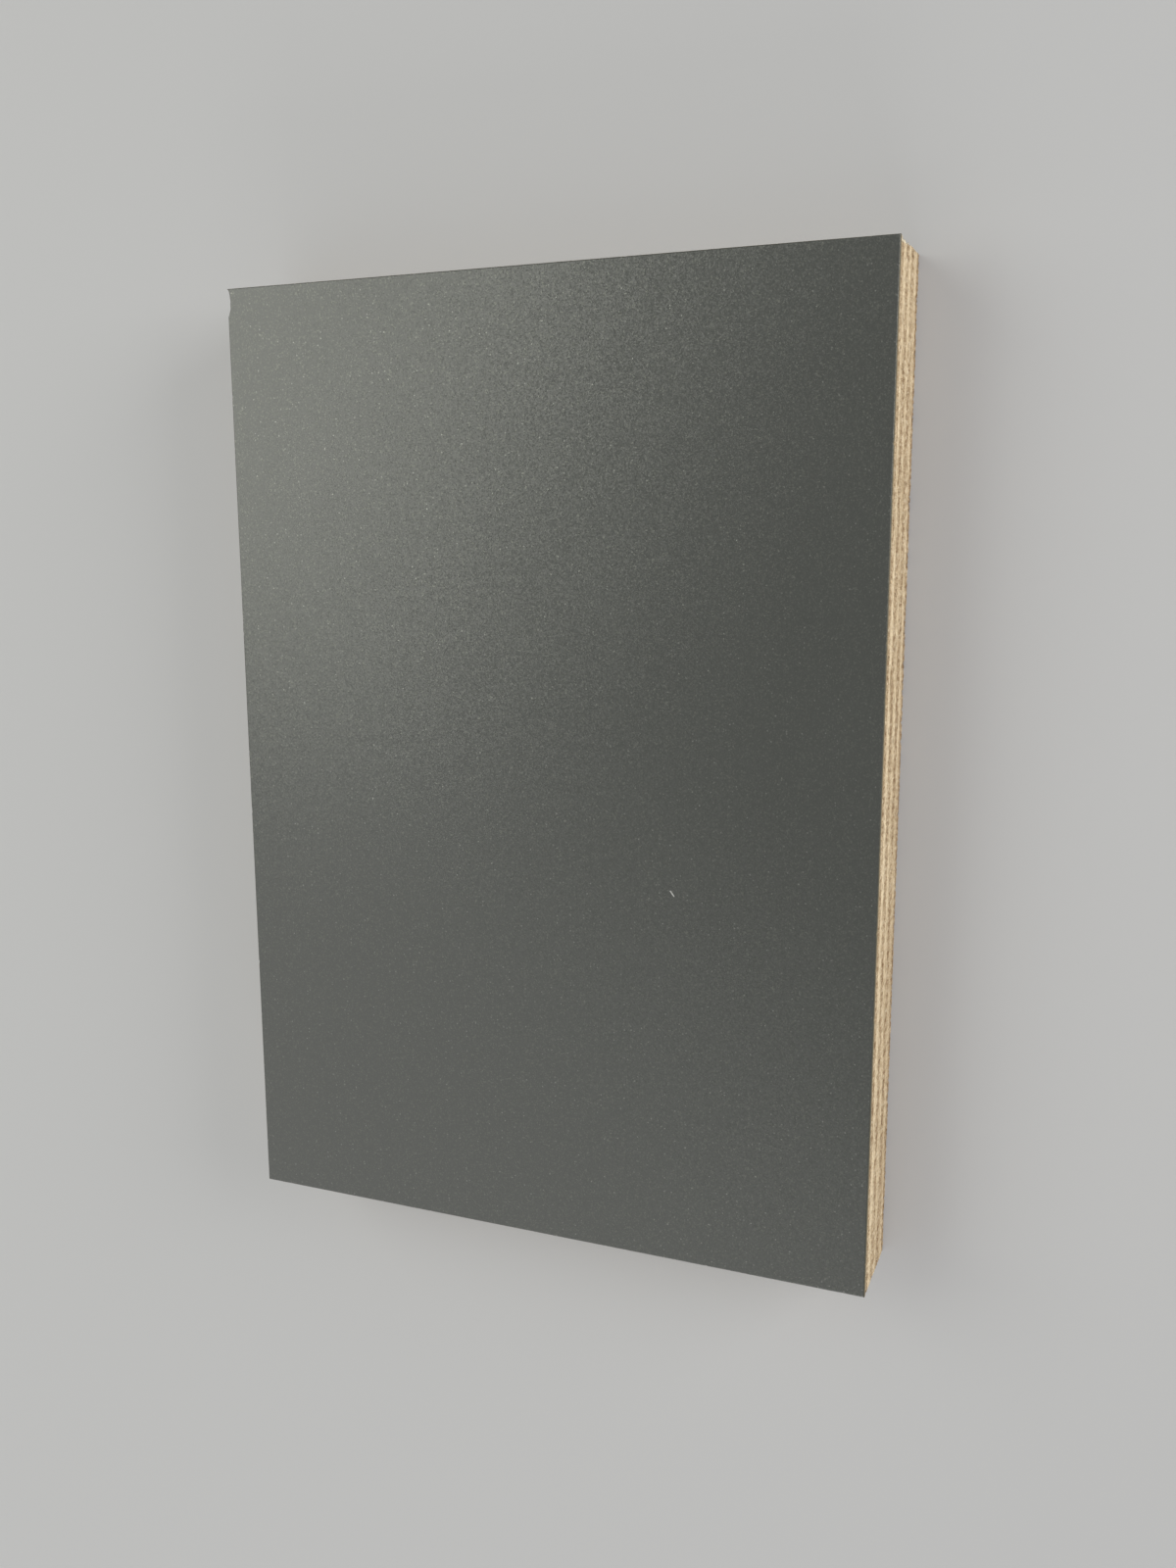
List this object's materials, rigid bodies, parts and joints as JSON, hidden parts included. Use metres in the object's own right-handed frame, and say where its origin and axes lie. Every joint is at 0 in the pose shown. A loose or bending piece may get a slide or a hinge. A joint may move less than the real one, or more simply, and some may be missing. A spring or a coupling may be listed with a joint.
{
  "type": "plywood sheet",
  "caption": "Cut piece of crosswise-laid plywood under a satin grey laminate facing, with bare saw-cut edges, lying flat.",
  "frame": {"origin": "middle of the sheet's underside, on the surface it lies on", "axes": "+X across the face to the right, +Y up the face along the long side, +Z out of the finished face"},
  "size_m": [0.126, 0.18, 0.0182],
  "materials": {
    "facing": "satin grey laminate with a fine pearly grain",
    "veneer_across": "bare veneer, grain running across the sheet",
    "veneer_along": "bare veneer, grain running along the sheet"
  },
  "bodies": {
    "root": {"facing": "facing", "ply_1_face": "veneer_across", "ply_2_crossband": "veneer_along", "ply_3_centre": "veneer_across", "ply_4_crossband": "veneer_along", "ply_5_centre": "veneer_across", "ply_6_crossband": "veneer_along", "ply_7_back": "veneer_across"}
  },
  "joints": []
}
